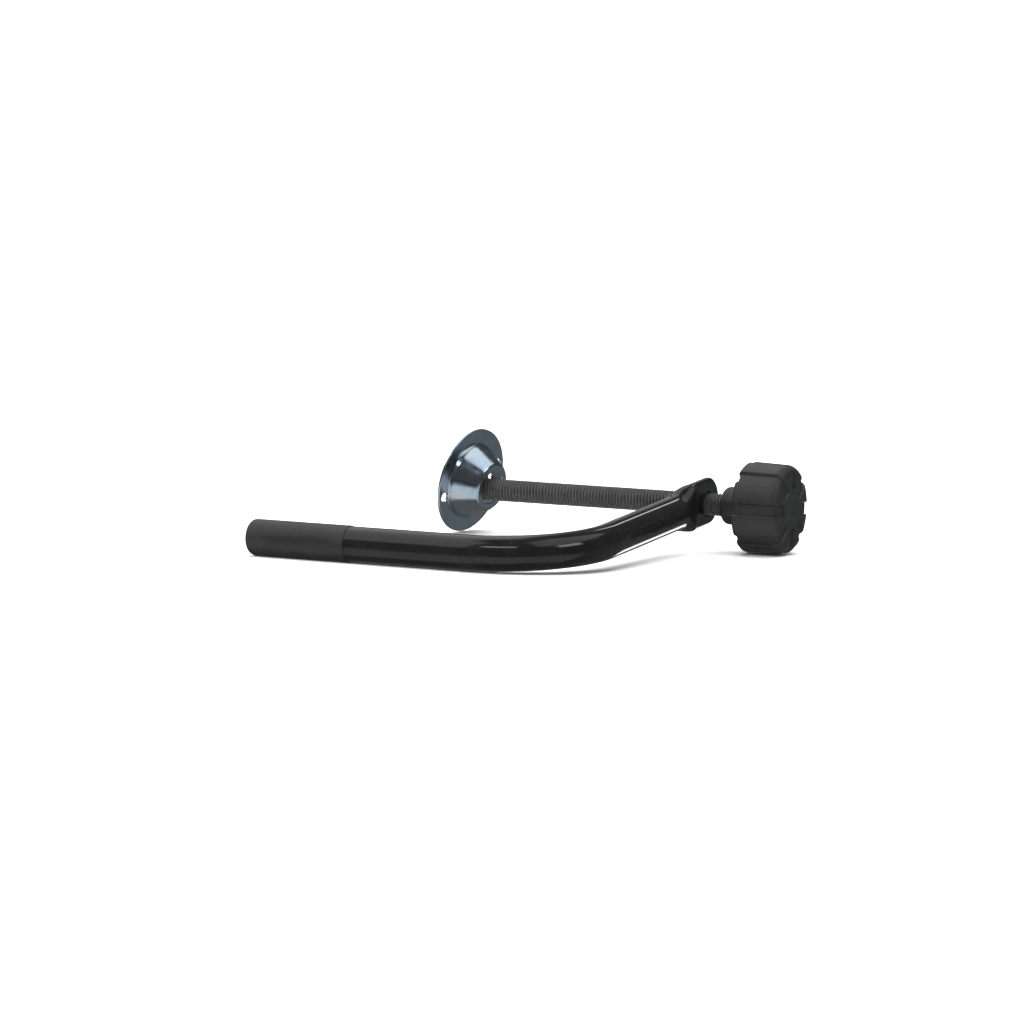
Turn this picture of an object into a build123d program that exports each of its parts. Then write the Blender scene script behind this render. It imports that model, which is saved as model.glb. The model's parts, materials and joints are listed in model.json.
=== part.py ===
from build123d import *
from math import asin, cos, radians, sin, sqrt
import os

# Door security bar: a bent tube whose crushed end rides on a long clamp screw.
# The screw has a fluted hand knob at one end and a loose, pressed swivel cup at the other.
#
# The object lies on a table at Z = 0. While it is built, X = 0 is the plane of the tube's
# short leg, +X runs along the screw towards the knob, and the screw's axis is at Y = 0.
# At the end everything is moved so that the origin is under the middle of the footprint.
# All lengths are in millimetres, and the sizes named here give angles in degrees.

# ---- Clamp screw, 1/2 in. - 13 ----
ROD_R = 6.33                 # outside radius of the thread
THREAD_CLEARANCE = 0.05      # radial gap between the thread and what runs on it
ROD_END_CHAMFER = 1.0
PIN_HOLE_LENGTH = 3 * ROD_R  # long enough to pass through the screw

# ---- Bent tube ----
TUBE_R = 9.65
TUBE_WALL = 1.65
BAR_SPACING = 177.8          # from the long leg's axis to the screw's axis
LONG_LEG = 185.0             # from the short leg's axis to the tube's open end
BEND_R = 57.15

# ---- Crushed end of the tube ----
EYE_THICKNESS = 4.4
EYE_HALF_WIDTH = 13.2
EYE_OVERHANG = 2.0           # the round end's middle is this far beyond the screw's axis
EYE_RISE = 1.4               # the plate sits this far above the short leg's middle
EYE_FACE_X = 6.3             # knob-side face of the plate
EYE_HOLE_CLEARANCE = 0.47    # radial gap between the plate's hole and the thread
EYE_OVERLAP = 1.0            # the plate runs this far into the crimp
CRIMP_START = 36.0           # distances from the screw's axis, back along the short leg
CRIMP_MIDDLE = 24.0
CRIMP_END = 16.0
CRIMP_SWELL = 0.4            # how far the crimp's sections are from the plate's width
CRIMP_CAVITY_HALF_GAP = 0.25

# ---- Sleeve on the long leg ----
SLEEVE_WALL = 0.35
SLEEVE_LENGTH = 60.3
SLEEVE_END_WALL = 1.5
SLEEVE_END_ROUNDING = 2.4

# ---- Hex nuts ----
HEX_ACROSS_FLATS = 19.05
HEX_EASING = 0.6             # share of the corners' height above the flats that is turned off
EYE_NUT_HEIGHT = 5.0
RETAINING_NUT_HEIGHT = 6.0

# ---- Fluted knob ----
KNOB_R = 25.5
KNOB_FRONT_R = 24.6
KNOB_HUB_WALL = 2.6          # plastic around the insert
KNOB_HUB_START = 16.5        # hub's end face, measured from the short leg's axis
KNOB_HUB_LENGTH = 13.0
KNOB_HEAD_LENGTH = 27.6
KNOB_HUB_ROUNDING = 3.2
KNOB_HUB_FILLET = 2.0
KNOB_BACK_ROUNDING = 3.2
KNOB_FRONT_ROUNDING = 5.6
FLUTE_COUNT = 8
FLUTE_WIDTH = 7.0
FLUTE_DEPTH = 1.3
FLUTE_INNER_R = 9.0          # the flutes start this far from the axis on the front face
FLUTE_START_ANGLE = 2.0      # the first flute, measured up from the side that faces -Y
INSERT_WALL = 1.67
INSERT_LENGTH = 26.0
INSERT_GROOVE_DEPTH = 0.8
INSERT_GROOVE_WIDTH = 2.0
INSERT_GROOVE_SHARES = (0.5, 0.75)   # places of the grooves along the insert
ROD_DEPTH_IN_KNOB = 24.0
KNOB_PIN_R = 1.6
KNOB_PIN_DEPTH = 6.5         # from the hub's end face to the pin's axis
KNOB_PIN_INSET = 0.3         # plastic left over each end of the pin

# ---- Swivel cup ----
CUP_RIM_R = 30.15
CUP_SHEET = 1.4
CUP_HEIGHT = 16.4
CUP_NOSE_LIP = 4.8           # width of the nose's flat around the hole, to the sharp corner
CUP_CONE_SPREAD = 7.2        # how much wider the cone is at its base than at the nose
CUP_CONE_BASE_HEIGHT = 3.4
CUP_RING_STEP = 1.0          # from the cone's base out to the flat ring
CUP_SHOULDER_R = 2.2
CUP_HOLE_CLEARANCE = 2.47    # radial gap that lets the cup lean on the screw
CUP_SCREW_HOLE_R = 2.6
CUP_SCREW_PCD_R = 24.9
CUP_SCREW_ANGLE = 20.0       # the screw holes' line, below the horizontal on the -Y side
CUP_NOSE_X = -128.0          # where the middle of the nose's sheet meets the screw
CUP_HANG = 1.4               # the loose cup sits this far above the screw's axis
CUP_LEAN_DOWN = 11.5         # the nose's axis points this far below the screw's axis
CUP_LEAN_SIDE = 9.5          # and this far towards the long leg

# ---- Washers and nut inside the cup ----
WASHER_MARGIN = 1.2          # how much wider the washers are than the cup's hole
WASHER_THICKNESS = 1.4
WASHER_STANDOFF = 5.8        # from the middle of the nose's sheet back to the first washer
NUT_PIN_R = 1.5
NUT_PIN_INSET = 0.2          # each end of the pin sits this far under the nut's flat
ROD_END_BEYOND_NUT = 0.4

# ---- Sizes that follow from the ones above ----
FLUTE_HALF_TURN = asin(FLUTE_WIDTH / 2 / KNOB_R)
LOBE_TURN = FLUTE_HALF_TURN - radians(FLUTE_START_ANGLE)
ROD_HEIGHT = KNOB_R * cos(LOBE_TURN)   # the knob stands on the edge of its lowest lobe
BAR_HEIGHT = TUBE_R + SLEEVE_WALL
BAR_SLOPE_SINE = (ROD_HEIGHT - BAR_HEIGHT) / BAR_SPACING
BORE_R = ROD_R + THREAD_CLEARANCE
EYE_HOLE_R = ROD_R + EYE_HOLE_CLEARANCE
INSERT_R = ROD_R + INSERT_WALL
KNOB_HUB_R = INSERT_R + KNOB_HUB_WALL
CUP_HOLE_R = ROD_R + CUP_HOLE_CLEARANCE
WASHER_R = CUP_HOLE_R + WASHER_MARGIN
CUP_NOSE_R = CUP_HOLE_R + CUP_NOSE_LIP
CUP_CONE_BASE_R = CUP_NOSE_R + CUP_CONE_SPREAD
CUP_RING_INNER_R = CUP_CONE_BASE_R + CUP_RING_STEP
ROD_RIGHT_X = KNOB_HUB_START + ROD_DEPTH_IN_KNOB
SWIVEL_WASHER_X = CUP_NOSE_X - WASHER_STANDOFF - WASHER_THICKNESS
THRUST_WASHER_X = SWIVEL_WASHER_X - WASHER_THICKNESS
RETAINING_NUT_X = THRUST_WASHER_X - RETAINING_NUT_HEIGHT
ROD_LEFT_X = RETAINING_NUT_X - ROD_END_BEYOND_NUT
KNOB_PIN_X = KNOB_HUB_START + KNOB_PIN_DEPTH
NUT_PIN_X = RETAINING_NUT_X + RETAINING_NUT_HEIGHT / 2
EYE_MIDDLE_X = EYE_FACE_X - EYE_THICKNESS / 2
EYE_BACK_X = EYE_FACE_X - EYE_THICKNESS

# The bar's own plane holds both legs. Its local x runs along the screw, its local y runs
# from the long leg to the screw, and its local origin is on the screw's axis.
BAR_PLANE = Plane(
    origin=(0, 0, ROD_HEIGHT),
    x_dir=(1, 0, 0),
    z_dir=(0, -BAR_SLOPE_SINE, sqrt(1 - BAR_SLOPE_SINE**2)),
)
ROD_START = Plane(origin=(0, 0, ROD_HEIGHT), x_dir=(0, 1, 0), z_dir=(1, 0, 0))


def along_rod(x):
    """Plane across the screw at x, with its normal towards the knob."""
    return ROD_START.offset(x)


def rod_cylinder(radius, start_x, length):
    """Cylinder on the screw's axis."""
    return along_rod(start_x) * extrude(Circle(radius), length)


def hex_nut(start_x, height, bore_r):
    """Hex nut on the screw's axis with flats at the top and bottom and eased corners."""
    flat_r = HEX_ACROSS_FLATS / 2
    corner_r = flat_r / cos(radians(30))
    blank = extrude(RegularPolygon(flat_r, 6, major_radius=False), height)
    easing = chamfer(extrude(Circle(corner_r), height).edges(), (corner_r - flat_r) * HEX_EASING)
    bore = extrude(Circle(bore_r), height)
    return along_rod(start_x) * ((blank & easing) - bore)


def cross_pin(x, radius, length):
    """Upright pin across the screw at x."""
    return Pos(x, 0, ROD_HEIGHT) * Cylinder(radius, length)


def crimp_section(distance, half_thickness, half_width, middle_x, rise):
    """Oval section of the short leg at a distance from the screw's axis."""
    plane = Plane(origin=(middle_x, -distance, rise), x_dir=(1, 0, 0), z_dir=(0, 1, 0))
    return plane * Ellipse(half_thickness, half_width)


def tube_run(radius):
    """Solid core of the long leg, the bend and the short leg, as far as the crimp."""
    bend_start = Vector(-BEND_R, -BAR_SPACING)
    path = Polyline((-LONG_LEG, -BAR_SPACING), bend_start)
    path += RadiusArc(bend_start, (0, BEND_R - BAR_SPACING), -BEND_R)
    path += Line((0, BEND_R - BAR_SPACING), (0, -CRIMP_START))
    start = Plane(origin=(-LONG_LEG, -BAR_SPACING, 0), z_dir=(1, 0, 0))
    return sweep(start * Circle(radius), path=path)


def crimp(tube_r, shrink):
    """Transition from the round tube to the crushed plate, made thinner by shrink."""
    sections = [
        crimp_section(CRIMP_START, tube_r, tube_r, 0, 0),
        crimp_section(
            CRIMP_MIDDLE,
            (TUBE_R + EYE_THICKNESS) / 2 - shrink,
            EYE_HALF_WIDTH - CRIMP_SWELL - shrink,
            EYE_MIDDLE_X / 2,
            EYE_RISE,
        ),
        crimp_section(
            CRIMP_END,
            EYE_THICKNESS / 2 + CRIMP_SWELL if shrink == 0 else CRIMP_CAVITY_HALF_GAP,
            EYE_HALF_WIDTH - shrink,
            EYE_MIDDLE_X,
            EYE_RISE,
        ),
    ]
    return loft(sections)


def make_bar_tube():
    """Bent tube with its short leg crushed into a pierced plate."""
    inner_r = TUBE_R - TUBE_WALL
    straight = CRIMP_END + EYE_OVERLAP + EYE_OVERHANG
    plate_outline = Pos(EYE_OVERHANG - straight / 2, 0) * Rectangle(straight, 2 * EYE_HALF_WIDTH)
    plate_outline += Pos(EYE_OVERHANG, 0) * Circle(EYE_HALF_WIDTH)
    plate_plane = Plane(origin=(EYE_BACK_X, 0, EYE_RISE), x_dir=(0, 1, 0), z_dir=(1, 0, 0))
    plate = plate_plane * extrude(plate_outline, EYE_THICKNESS)
    outside = tube_run(TUBE_R) + crimp(TUBE_R, 0) + plate
    inside = tube_run(inner_r) + crimp(inner_r, TUBE_WALL)
    hole = rod_cylinder(EYE_HOLE_R, EYE_BACK_X - EYE_THICKNESS, 3 * EYE_THICKNESS)
    return BAR_PLANE * (outside - inside) - hole


def make_sleeve():
    """Thin closed sleeve over the long leg's end."""
    outer_r = TUBE_R + SLEEVE_WALL
    end_x = -LONG_LEG - SLEEVE_END_WALL
    end_plane = Plane(origin=(end_x, -BAR_SPACING, 0), z_dir=(1, 0, 0))
    outside = extrude(Circle(outer_r), SLEEVE_LENGTH)
    outside = fillet(outside.edges().group_by(Axis.Z)[0], SLEEVE_END_ROUNDING)
    core = Pos(0, 0, SLEEVE_END_WALL) * extrude(Circle(TUBE_R), SLEEVE_LENGTH)
    return BAR_PLANE * (end_plane * (outside - core))


def make_rod():
    """Clamp screw, drawn at the thread's outside diameter."""
    rod = rod_cylinder(ROD_R, ROD_LEFT_X, ROD_RIGHT_X - ROD_LEFT_X)
    rod = chamfer(rod.edges().filter_by(GeomType.CIRCLE), ROD_END_CHAMFER)
    knob_hole = cross_pin(KNOB_PIN_X, KNOB_PIN_R, PIN_HOLE_LENGTH)
    nut_hole = cross_pin(NUT_PIN_X, NUT_PIN_R, PIN_HOLE_LENGTH)
    return rod - knob_hole - nut_hole


def make_eye_nut():
    """Weld nut on the back of the crushed plate."""
    return hex_nut(EYE_BACK_X - EYE_NUT_HEIGHT, EYE_NUT_HEIGHT, BORE_R)


def make_retaining_nut():
    """Nut on the screw's end inside the cup, drilled for its pin."""
    nut = hex_nut(RETAINING_NUT_X, RETAINING_NUT_HEIGHT, ROD_R)
    return nut - cross_pin(NUT_PIN_X, NUT_PIN_R, 2 * HEX_ACROSS_FLATS)


def make_nut_pin():
    """Pin through the retaining nut, just under its flats."""
    return cross_pin(NUT_PIN_X, NUT_PIN_R, HEX_ACROSS_FLATS - 2 * NUT_PIN_INSET)


def make_washer(start_x):
    """Flat washer that runs on the screw."""
    washer = extrude(Circle(WASHER_R) - Circle(BORE_R), WASHER_THICKNESS)
    return along_rod(start_x) * washer


def insert_blank():
    """Outside shape of the knob's steel insert, with its two grip grooves."""
    blank = rod_cylinder(INSERT_R, KNOB_HUB_START, INSERT_LENGTH)
    for share in INSERT_GROOVE_SHARES:
        groove = Circle(INSERT_R) - Circle(INSERT_R - INSERT_GROOVE_DEPTH)
        ring = extrude(groove, INSERT_GROOVE_WIDTH)
        blank -= along_rod(KNOB_HUB_START + share * INSERT_LENGTH) * ring
    return blank


def knob_pin():
    """Pin across the hub, the insert and the screw."""
    return cross_pin(KNOB_PIN_X, KNOB_PIN_R, 2 * (KNOB_HUB_R - KNOB_PIN_INSET))


def make_knob_insert():
    """Steel insert moulded into the knob, blind at its outer end."""
    bore = rod_cylinder(ROD_R, KNOB_HUB_START, ROD_DEPTH_IN_KNOB)
    return insert_blank() - bore - knob_pin()


def turned_knob(inset):
    """Knob's turned shape, with its head's surface moved in by inset."""
    head_x = KNOB_HUB_START + KNOB_HUB_LENGTH
    front_x = head_x + KNOB_HEAD_LENGTH
    outline = Polyline(
        (KNOB_HUB_START, 0),
        (KNOB_HUB_START, KNOB_HUB_R),
        (head_x + inset, KNOB_HUB_R),
        (head_x + inset, KNOB_R - inset),
        (front_x - inset, KNOB_FRONT_R - inset),
        (front_x - inset, 0),
        close=True,
    )
    profile = make_face(outline)
    roundings = {
        (KNOB_HUB_START, KNOB_HUB_R): KNOB_HUB_ROUNDING,
        (head_x + inset, KNOB_HUB_R): KNOB_HUB_FILLET,
        (head_x + inset, KNOB_R - inset): KNOB_BACK_ROUNDING - inset,
        (front_x - inset, KNOB_FRONT_R - inset): KNOB_FRONT_ROUNDING - inset,
    }
    for (x, r), radius in roundings.items():
        corner = profile.vertices().sort_by_distance((x, r, 0))[0]
        profile = fillet(corner, radius)
    return Pos(0, 0, ROD_HEIGHT) * revolve(profile, Axis.X)


def make_knob_body():
    """Fluted knob with a round hub; the flutes are as deep on the roundings and the front."""
    head_x = KNOB_HUB_START + KNOB_HUB_LENGTH
    outside = turned_knob(0)
    floor = turned_knob(FLUTE_DEPTH)
    slots = []
    for number in range(FLUTE_COUNT):
        slot = Pos(head_x, 0, FLUTE_INNER_R) * Box(
            2 * KNOB_HEAD_LENGTH,
            FLUTE_WIDTH,
            KNOB_R,
            align=(Align.MIN, Align.CENTER, Align.MIN),
        )
        turn = 90 - FLUTE_START_ANGLE + number * 360 / FLUTE_COUNT
        slots.append(Pos(0, 0, ROD_HEIGHT) * Rot(X=turn) * slot)
    return outside - [slot - floor for slot in slots] - insert_blank() - knob_pin()


def cup_place():
    """Place of the cup: its own Z axis runs out of the nose, from the rim's back plane."""
    down = radians(CUP_LEAN_DOWN)
    side = radians(CUP_LEAN_SIDE)
    nose = Vector(cos(side) * cos(down), -sin(side) * cos(down), -sin(down))
    pivot = Vector(CUP_NOSE_X, 0, ROD_HEIGHT + CUP_HANG)
    back = pivot - nose * (CUP_HEIGHT - CUP_SHEET / 2)
    return Plane(origin=back, x_dir=nose.cross(Vector(0, 0, 1)), z_dir=nose)


def make_flange_cup():
    """Pressed cup: flat ring, coned wall, rounded shoulder and a nose with a large hole."""
    outer = Polyline(
        (CUP_HOLE_R, CUP_HEIGHT),
        (CUP_NOSE_R, CUP_HEIGHT),
        (CUP_CONE_BASE_R, CUP_CONE_BASE_HEIGHT),
        (CUP_RING_INNER_R, CUP_SHEET),
        (CUP_RIM_R, CUP_SHEET),
        (CUP_RIM_R, 0),
        (CUP_RING_INNER_R - CUP_SHEET, 0),
        (CUP_CONE_BASE_R - CUP_SHEET, CUP_CONE_BASE_HEIGHT - CUP_SHEET / 2),
        (CUP_NOSE_R - CUP_SHEET, CUP_HEIGHT - CUP_SHEET),
        (CUP_HOLE_R, CUP_HEIGHT - CUP_SHEET),
        close=True,
    )
    profile = make_face(outer)
    shoulder = profile.vertices().sort_by_distance((CUP_NOSE_R, CUP_HEIGHT, 0))[0]
    profile = fillet(shoulder, CUP_SHOULDER_R)
    inner = (CUP_NOSE_R - CUP_SHEET, CUP_HEIGHT - CUP_SHEET, 0)
    profile = fillet(profile.vertices().sort_by_distance(inner)[0], CUP_SHOULDER_R - CUP_SHEET)
    cup = revolve(Plane.XZ * profile, Axis.Z)
    hole = Cylinder(CUP_SCREW_HOLE_R, 4 * CUP_SHEET)
    for side in (0, 180):
        cup -= Rot(Z=side + CUP_SCREW_ANGLE) * Pos(CUP_SCREW_PCD_R, 0, 0) * hole
    return cup_place() * cup


parts = {
    "bar_tube": make_bar_tube(),
    "bar_end_sleeve": make_sleeve(),
    "eye_nut": make_eye_nut(),
    "threaded_rod": make_rod(),
    "knob_body": make_knob_body(),
    "knob_insert": make_knob_insert(),
    "knob_lock_pin": knob_pin(),
    "flange_cup": make_flange_cup(),
    "retaining_nut": make_retaining_nut(),
    "nut_lock_pin": make_nut_pin(),
    "thrust_washer": make_washer(THRUST_WASHER_X),
    "swivel_washer": make_washer(SWIVEL_WASHER_X),
}

# Stand the whole object with its origin under the middle of its footprint.
footprint = Compound(list(parts.values())).bounding_box()
to_origin = Pos(-footprint.center().X, -footprint.center().Y, -footprint.min.Z)

os.makedirs("parts", exist_ok=True)
for name, solid in parts.items():
    export_step(to_origin * solid, f"parts/{name}.step")
print("moved by", to_origin.position, "size", footprint.size)
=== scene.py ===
"""Door security bar: a bent tube, a long clamp screw, a fluted hand knob and a loose cup.

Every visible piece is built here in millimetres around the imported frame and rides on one
of its bodies. Places come from the frame's own boxes and joints.
"""

from __future__ import annotations

import json
import logging
import math
from dataclasses import dataclass, field
from enum import Enum
from typing import Callable, Iterable, Sequence

import bmesh
import bpy
from mathutils import Matrix, Vector

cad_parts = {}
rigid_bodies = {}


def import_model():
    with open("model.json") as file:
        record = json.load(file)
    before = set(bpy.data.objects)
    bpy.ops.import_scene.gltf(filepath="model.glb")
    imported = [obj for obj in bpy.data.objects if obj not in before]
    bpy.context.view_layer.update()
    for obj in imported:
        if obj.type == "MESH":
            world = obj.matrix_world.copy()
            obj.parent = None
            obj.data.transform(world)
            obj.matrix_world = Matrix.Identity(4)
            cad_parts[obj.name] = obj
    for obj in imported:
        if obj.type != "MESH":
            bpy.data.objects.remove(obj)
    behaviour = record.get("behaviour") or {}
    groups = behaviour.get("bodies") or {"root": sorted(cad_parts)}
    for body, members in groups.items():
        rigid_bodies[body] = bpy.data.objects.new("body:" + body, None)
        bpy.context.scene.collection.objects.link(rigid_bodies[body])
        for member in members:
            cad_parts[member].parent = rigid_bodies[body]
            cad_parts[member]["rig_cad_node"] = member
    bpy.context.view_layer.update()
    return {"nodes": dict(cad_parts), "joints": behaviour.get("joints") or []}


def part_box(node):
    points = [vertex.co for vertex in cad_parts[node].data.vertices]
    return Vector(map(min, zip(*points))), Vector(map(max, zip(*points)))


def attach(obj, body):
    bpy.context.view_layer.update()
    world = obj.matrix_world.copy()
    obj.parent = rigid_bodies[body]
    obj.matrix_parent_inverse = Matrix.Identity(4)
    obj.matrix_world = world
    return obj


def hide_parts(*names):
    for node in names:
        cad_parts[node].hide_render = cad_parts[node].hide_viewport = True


LOG = logging.getLogger("door_security_bar")
MM = 0.001
WEAR_AND_HIGHLIGHT = "wear"  # layer that holds how rubbed each point of a mesh is; on the cup it also holds a painted highlight
Colour = tuple[float, float, float]
Ring = list[int]


class Body(Enum):
    """The frame's bodies that new pieces ride on."""

    BAR = "bar"
    SCREW = "screw"
    CUP = "cup"


class Slot(Enum):
    """The record's material slots."""

    GLOSS_BLACK = "gloss_black"
    MATT_SLEEVE = "matt_sleeve"
    BLACK_OXIDE = "black_oxide"
    KNOB_PLASTIC = "knob_plastic"
    INSERT_STEEL = "insert_steel"
    ZINC = "zinc"


def node_box(node: str) -> tuple[Vector, Vector]:
    """Give a frame node's box at rest.

    Args:
        node: Name of the node.

    Returns:
        Its lowest and highest corners in millimetres.
    """
    low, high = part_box(node)
    return low / MM, high / MM


def ease(share: float) -> float:
    """Smooth step of a share between 0 and 1."""
    share = min(1.0, max(0.0, share))
    return share * share * (3.0 - 2.0 * share)


def between(start: float, end: float, share: float) -> float:
    """Value at a share of the way from start to end."""
    return start + (end - start) * share


# --------------------------------------------------------------------------- mesh tools


@dataclass(frozen=True)
class Axes:
    """A turning axis with the direction that counts as angle zero.

    Attributes:
        origin: A point on the axis, in millimetres.
        along: Unit direction of the axis.
        zero: Unit direction of angle zero, square to the axis.
    """

    origin: Vector
    along: Vector
    zero: Vector

    def point(self, axial: float, radius: float, angle: float) -> Vector:
        """Give the point at a place along, out from and around the axis.

        Args:
            axial: Distance along the axis.
            radius: Distance out from the axis.
            angle: Angle around the axis, in radians.

        Returns:
            The point in millimetres.
        """
        side = self.along.cross(self.zero)
        out = self.zero * math.cos(angle) + side * math.sin(angle)
        return self.origin + self.along * axial + out * radius


@dataclass(frozen=True)
class Corner:
    """A corner of a turned outline, rounded with an arc.

    Attributes:
        axial: Distance along the axis.
        radial: Distance out from the axis.
        rounding: Radius of the arc, or 0 for a sharp corner.
    """

    axial: float
    radial: float
    rounding: float = 0.0


def rounded_outline(
    corners: Sequence[Corner], closed: bool, steps: int = 6
) -> list[tuple[float, float]]:
    """Turn corners into a fine outline with an arc at each rounded one.

    Args:
        corners: The corners in order.
        closed: Whether the last corner joins the first.
        steps: Number of pieces in each arc.

    Returns:
        Pairs of axial and radial distance.
    """
    outline: list[tuple[float, float]] = []
    count = len(corners)
    for number, corner in enumerate(corners):
        here = Vector((corner.axial, corner.radial))
        at_end = not closed and number in (0, count - 1)
        if corner.rounding <= 0.0 or at_end:
            outline.append((here.x, here.y))
            continue
        last, following = corners[number - 1], corners[(number + 1) % count]
        back = (Vector((last.axial, last.radial)) - here).normalized()
        on = (Vector((following.axial, following.radial)) - here).normalized()
        half = math.acos(max(-1.0, min(1.0, back.dot(on)))) / 2.0
        reach = corner.rounding / math.tan(half)
        middle = here + (back + on).normalized() * (corner.rounding / math.sin(half))
        first = here + back * reach - middle
        last_arm = here + on * reach - middle
        sweep = first.angle_signed(last_arm)
        for step in range(steps + 1):
            turn = -sweep * step / steps
            arm = Vector(
                (
                    first.x * math.cos(turn) - first.y * math.sin(turn),
                    first.x * math.sin(turn) + first.y * math.cos(turn),
                )
            )
            outline.append(((middle + arm).x, (middle + arm).y))
    return outline


def refine(outline: Sequence[tuple[float, float]], longest: float) -> list[tuple[float, float]]:
    """Split the long runs of an outline.

    Args:
        outline: Pairs of axial and radial distance.
        longest: Longest run to leave whole.

    Returns:
        The outline with more points on its long runs.
    """
    fine = [outline[0]]
    for start, end in zip(outline, outline[1:]):
        pieces = max(1, math.ceil(math.dist(start, end) / longest))
        for piece in range(1, pieces + 1):
            share = piece / pieces
            fine.append((between(start[0], end[0], share), between(start[1], end[1], share)))
    return fine


def outline_normals(outline: Sequence[tuple[float, float]]) -> list[Vector]:
    """Give the outward direction at each point of an open outline.

    Args:
        outline: Pairs of axial and radial distance, from the back to the front.

    Returns:
        Unit vectors of axial and radial parts.
    """
    normals = []
    for number in range(len(outline)):
        before = Vector(outline[max(0, number - 1)])
        after = Vector(outline[min(len(outline) - 1, number + 1)])
        run = after - before
        normals.append(Vector((-run.y, run.x)).normalized())
    return normals


@dataclass
class Shell:
    """A mesh under construction, in millimetres.

    Attributes:
        points: Its points.
        faces: Its faces, as indices of points.
        shares: A value from 0 to 1 for each point, such as how worn it is.
    """

    points: list[Vector] = field(default_factory=list)
    faces: list[tuple[int, ...]] = field(default_factory=list)
    shares: list[float] = field(default_factory=list)

    def ring(self, points: Iterable[Vector], shares: Iterable[float] | None = None) -> Ring:
        """Add a row of points.

        Args:
            points: The points in order.
            shares: Their values, or none for 0.

        Returns:
            Their indices.
        """
        start = len(self.points)
        self.points.extend(points)
        count = len(self.points) - start
        self.shares.extend(shares if shares is not None else [0.0] * count)
        return list(range(start, len(self.points)))

    def bridge(self, first: Ring, second: Ring, closed: bool = True) -> None:
        """Join two rows of equal length with quads.

        Args:
            first: Indices of one row.
            second: Indices of the other.
            closed: Whether each row is a loop.
        """
        count = len(first)
        for number in range(count if closed else count - 1):
            after = (number + 1) % count
            self.faces.append((first[number], first[after], second[after], second[number]))

    def cap(self, ring: Ring) -> None:
        """Close a loop with one face."""
        self.faces.append(tuple(ring))

    def loft(self, rings: Sequence[Ring], closed: bool = True) -> None:
        """Join each row to the next."""
        for first, second in zip(rings, rings[1:]):
            self.bridge(first, second, closed)

    def finish(self, name: str, crease: float = 35.0) -> bpy.types.Object:
        """Make the object in metres, smooth apart from its sharp edges.

        Args:
            name: Name of the new object.
            crease: Angle in degrees above which an edge stays sharp.

        Returns:
            The new object, linked to the scene.
        """
        mesh = bpy.data.meshes.new(name)
        mesh.from_pydata([point * MM for point in self.points], [], self.faces)
        stored = mesh.attributes.new(WEAR_AND_HIGHLIGHT, "FLOAT", "POINT")
        stored.data.foreach_set("value", self.shares)
        model = bmesh.new()
        model.from_mesh(mesh)
        bmesh.ops.remove_doubles(model, verts=model.verts, dist=0.002 * MM)
        bmesh.ops.dissolve_degenerate(model, edges=model.edges, dist=0.001 * MM)
        bmesh.ops.recalc_face_normals(model, faces=model.faces)
        model.to_mesh(mesh)
        model.free()
        piece = bpy.data.objects.new(name, mesh)
        bpy.context.scene.collection.objects.link(piece)
        smooth(piece, crease)
        return piece


def smooth(piece: bpy.types.Object, crease: float) -> None:
    """Shade a mesh smooth and keep its sharp edges."""
    piece.data.shade_smooth()
    piece.data.set_sharp_from_angle(angle=math.radians(crease))


def turned(
    axes: Axes,
    outline: Sequence[tuple[float, float]],
    angles: Sequence[float],
    limit: Callable[[float, float], float] | None = None,
    wear: Callable[[float, float], float] | None = None,
    closed: bool = True,
) -> Shell:
    """Turn an outline around an axis, with an optional limit on its radius.

    Args:
        axes: The turning axis.
        outline: Pairs of axial and radial distance.
        angles: The angles of the cuts around the axis, in radians.
        limit: Gives the final radius from the radius and the angle.
        wear: Gives the stored value from the radius and the angle.
        closed: Whether the outline is a loop.

    Returns:
        The shell, closed all round the axis.
    """
    shell = Shell()
    rings = []
    for angle in angles:
        points, shares = [], []
        for axial, radial in outline:
            radius = limit(radial, angle) if limit else radial
            points.append(axes.point(axial, radius, angle))
            shares.append(wear(radial, angle) if wear else 0.0)
        rings.append(shell.ring(points, shares))
    shell.loft([*rings, rings[0]], closed)
    return shell


def even_angles(count: int) -> list[float]:
    """Angles of equal cuts round a full turn."""
    return [2.0 * math.pi * number / count for number in range(count)]


def cut_hole(piece: bpy.types.Object, cutter: bpy.types.Object) -> None:
    """Cut one closed mesh out of another and remove the cutter.

    Args:
        piece: The mesh that is cut.
        cutter: The mesh that is taken away.
    """
    change = piece.modifiers.new("hole", "BOOLEAN")
    change.operation = "DIFFERENCE"
    change.solver = "EXACT"
    change.object = cutter
    bpy.context.view_layer.update()
    result = bpy.data.meshes.new_from_object(
        piece.evaluated_get(bpy.context.evaluated_depsgraph_get())
    )
    piece.modifiers.clear()
    piece.data = result
    bpy.data.objects.remove(cutter)


def pierce(
    piece: bpy.types.Object, axes: Axes, thick: float, radius: float, flare: float, cuts: int
) -> None:
    """Cut a round hole with flared lips through a plate.

    Args:
        piece: The plate.
        axes: The hole's axis, which starts on the plate's back.
        thick: How thick the plate is.
        radius: Radius of the hole.
        flare: How wide and how deep its lips are.
        cuts: Number of cuts around it.
    """
    beyond = 1.0
    outline = [
        (-beyond, 0.0),
        (-beyond, radius + flare + beyond),
        (flare, radius),
        (thick - flare, radius),
        (thick + beyond, radius + flare + beyond),
        (thick + beyond, 0.0),
    ]
    cut_hole(piece, turned(axes, outline, even_angles(cuts), closed=False).finish("cutter"))


def screw_axes(x: float, zero: Vector) -> Axes:
    """Give the clamp screw's axis, which points at the knob.

    Args:
        x: Where it starts, in millimetres.
        zero: Direction of angle zero.

    Returns:
        The axis.
    """
    low, high = node_box("threaded_rod")
    middle = (low + high) / 2.0
    return Axes(Vector((x, middle.y, middle.z)), Vector((1, 0, 0)), zero)


# --------------------------------------------------------------------------- finishes


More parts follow.
